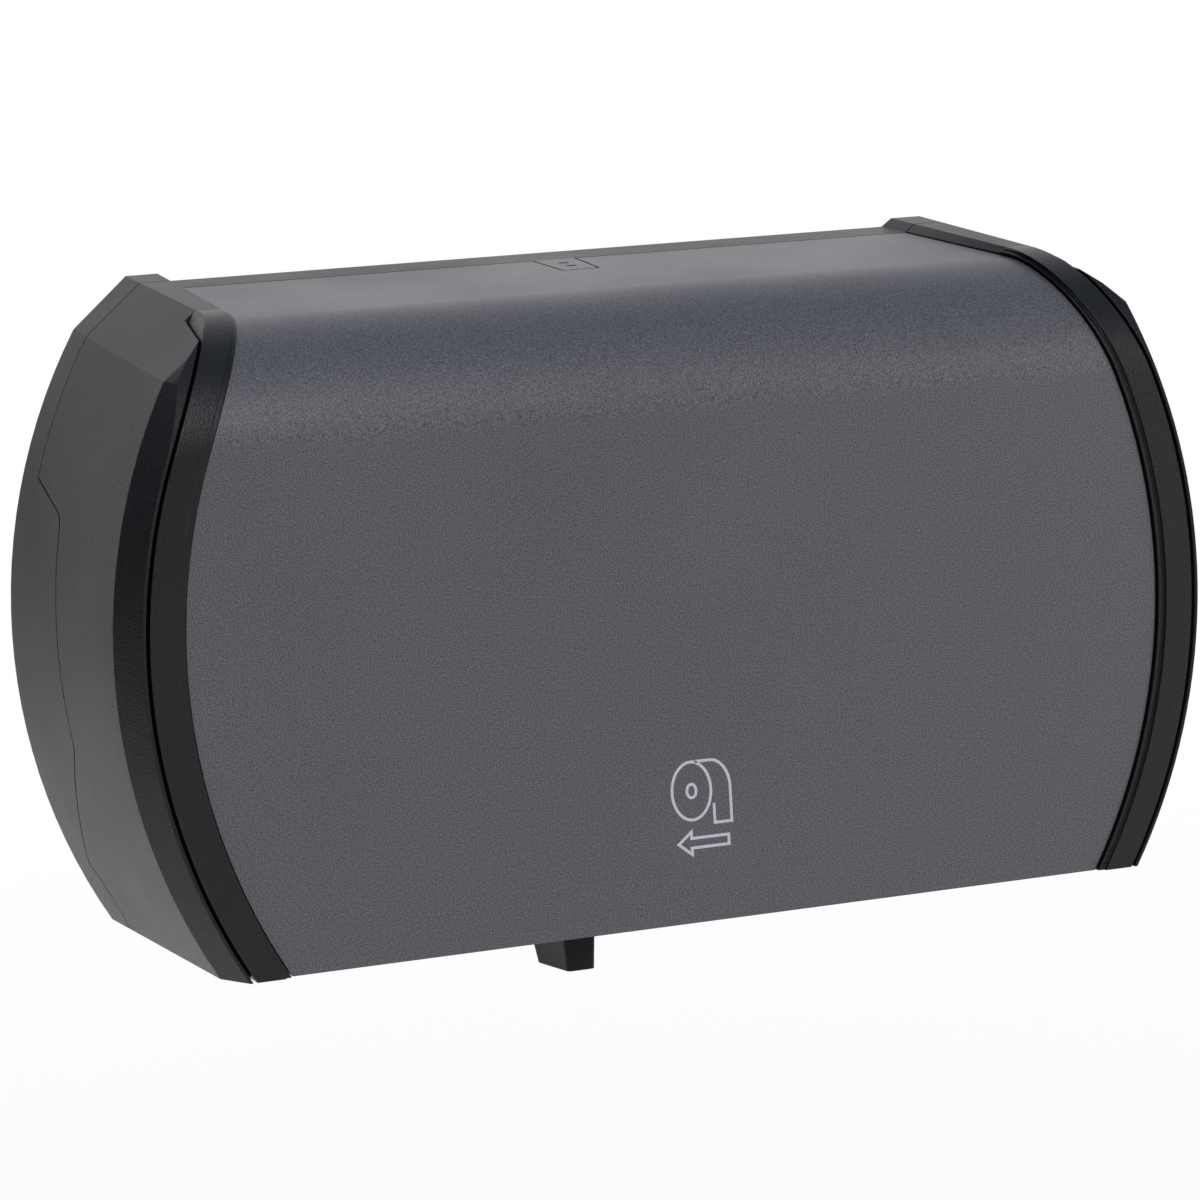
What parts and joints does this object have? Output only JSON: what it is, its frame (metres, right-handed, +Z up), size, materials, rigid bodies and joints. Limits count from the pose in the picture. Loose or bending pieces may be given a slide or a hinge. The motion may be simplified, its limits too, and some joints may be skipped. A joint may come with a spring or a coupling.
{
  "type": "bath tissue dispenser",
  "caption": "Wide wall-mounted bath tissue dispenser for rolls side by side, with a grey front that hinges down, black end caps, key latch and sliding reserve door",
  "frame": {"origin": "Centre of the four wall screws, on the wall", "axes": "X along the wall to the right as seen from the front, Y into the wall, Z up"},
  "size_m": [0.366, 0.1231, 0.2195],
  "materials": {
    "black_abs": "satin moulded",
    "grey_panel": "smooth satin",
    "black_acetal": "smooth moulded",
    "grey_acetal": "smooth moulded",
    "steel": "zinc plated"
  },
  "bodies": {
    "housing": {"back_housing": "black_abs", "spindle_post_left": "black_abs", "spindle_post_right": "black_abs", "post_screws": "steel", "hub_screw_left": "steel", "hub_screw_right": "steel", "door_track": "black_abs", "track_screws": "steel", "latch_bracket": "black_abs", "bracket_screws": "steel", "latch_pin": "steel", "latch_spring": "steel", "key_plate": "grey_panel", "hinge_pin_left": "steel", "hinge_pin_right": "steel"},
    "cover": {"front_panel": "grey_panel", "end_cap_left": "black_abs", "end_cap_right": "black_abs", "bezel_left": "black_abs", "bezel_right": "black_abs", "bezel_screws": "steel", "top_rail": "black_abs", "latch_catch": "black_acetal", "catch_screws": "steel"},
    "latch": {"latch_lever": "black_acetal"},
    "door": {"reserve_door": "black_acetal", "door_handle": "black_acetal", "handle_screws": "steel"},
    "hub_left": {"roll_hub_left": "grey_acetal"},
    "hub_right": {"roll_hub_right": "grey_acetal"}
  },
  "joints": [
    {"name": "cover_hinge", "type": "hinge", "parent": "housing", "child": "cover", "pos_m": [0, -0.01, -0.0925], "axis": [1, 0, 0], "range_deg": [0, 85]},
    {"name": "latch_pivot", "type": "hinge", "parent": "housing", "child": "latch", "pos_m": [0, -0.011, 0.0845], "axis": [1, 0, 0], "range_deg": [0, 9], "stiffness_Nm_per_rad": 0.05, "springref_deg": -22.92, "deforming": ["latch_spring"]},
    {"name": "door_slide", "type": "slide", "parent": "housing", "child": "door", "axis": [-1, 0, 0], "range_m": [0, 0.076]},
    {"name": "hub_left_spin", "type": "hinge", "parent": "housing", "child": "hub_left", "pos_m": [-0.086, -0.05, -0.0025], "axis": [0, 1, 0], "continuous": true},
    {"name": "hub_right_spin", "type": "hinge", "parent": "housing", "child": "hub_right", "pos_m": [0.086, -0.05, -0.0025], "axis": [0, 1, 0], "continuous": true}
  ]
}
